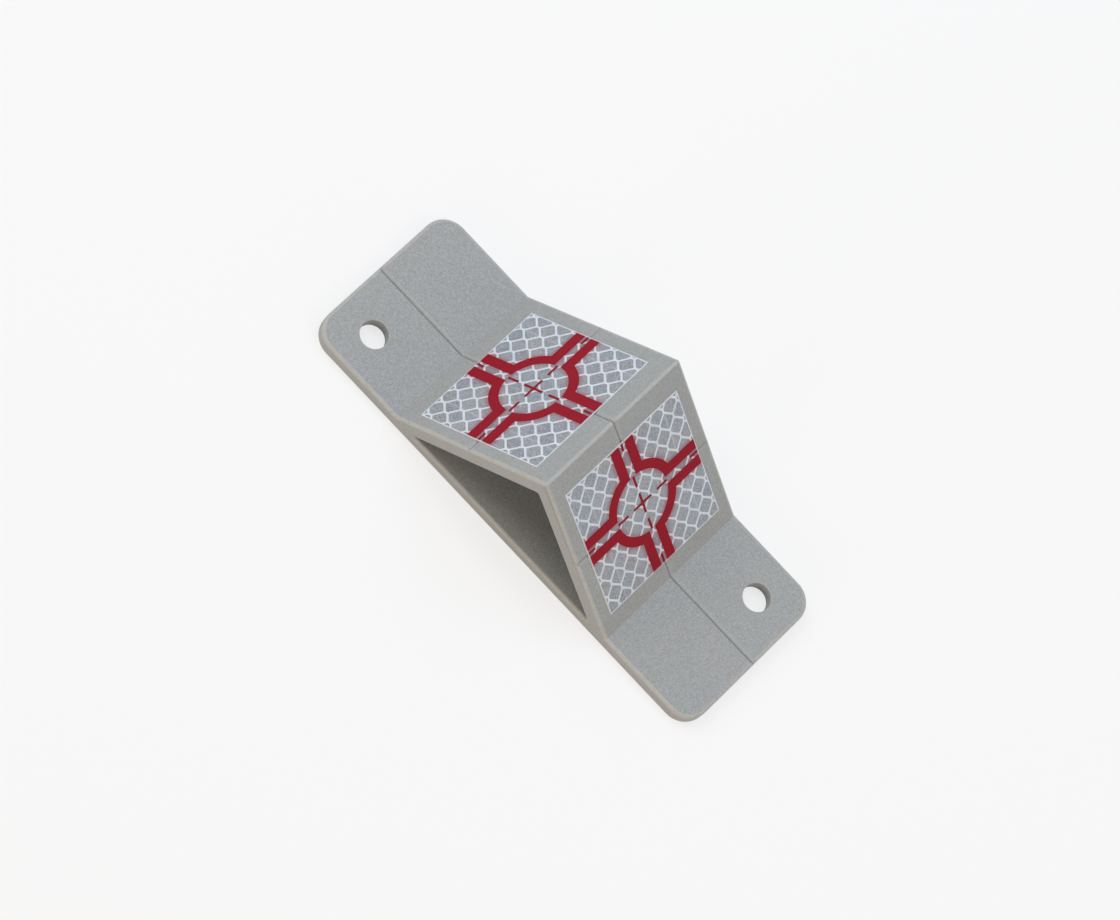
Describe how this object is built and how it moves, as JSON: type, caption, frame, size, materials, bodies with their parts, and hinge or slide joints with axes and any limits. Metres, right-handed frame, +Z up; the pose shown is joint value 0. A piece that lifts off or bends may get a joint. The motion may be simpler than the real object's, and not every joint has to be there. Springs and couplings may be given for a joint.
{
  "type": "raised pavement marker",
  "caption": "Moulded plastic bridge that is screwed flat to a road, with a square retroreflective sighting target on each of its two sloping faces.",
  "frame": {"origin": "centre of the flat underside, on the road surface", "axes": "+X runs along the marker from the left wing to the right wing, +Y runs along the ridge, +Z points up from the road"},
  "size_m": [0.1654, 0.06, 0.0507],
  "materials": {
    "body_plastic": "light grey moulded plastic with a fine matt grain",
    "adhesive": "pale pressure-sensitive adhesive",
    "backing": "white backing film",
    "prism_film": "blue-grey cube-corner film, finely ruled",
    "seal_net": "white seal lines",
    "reticle_ink": "dark red printed ink"
  },
  "bodies": {
    "root": {"marker_body": "body_plastic", "left_adhesive": "adhesive", "left_backing_film": "backing", "left_prism_film": "prism_film", "left_seal_net": "seal_net", "left_reticle": "reticle_ink", "right_adhesive": "adhesive", "right_backing_film": "backing", "right_prism_film": "prism_film", "right_seal_net": "seal_net", "right_reticle": "reticle_ink"}
  },
  "joints": []
}
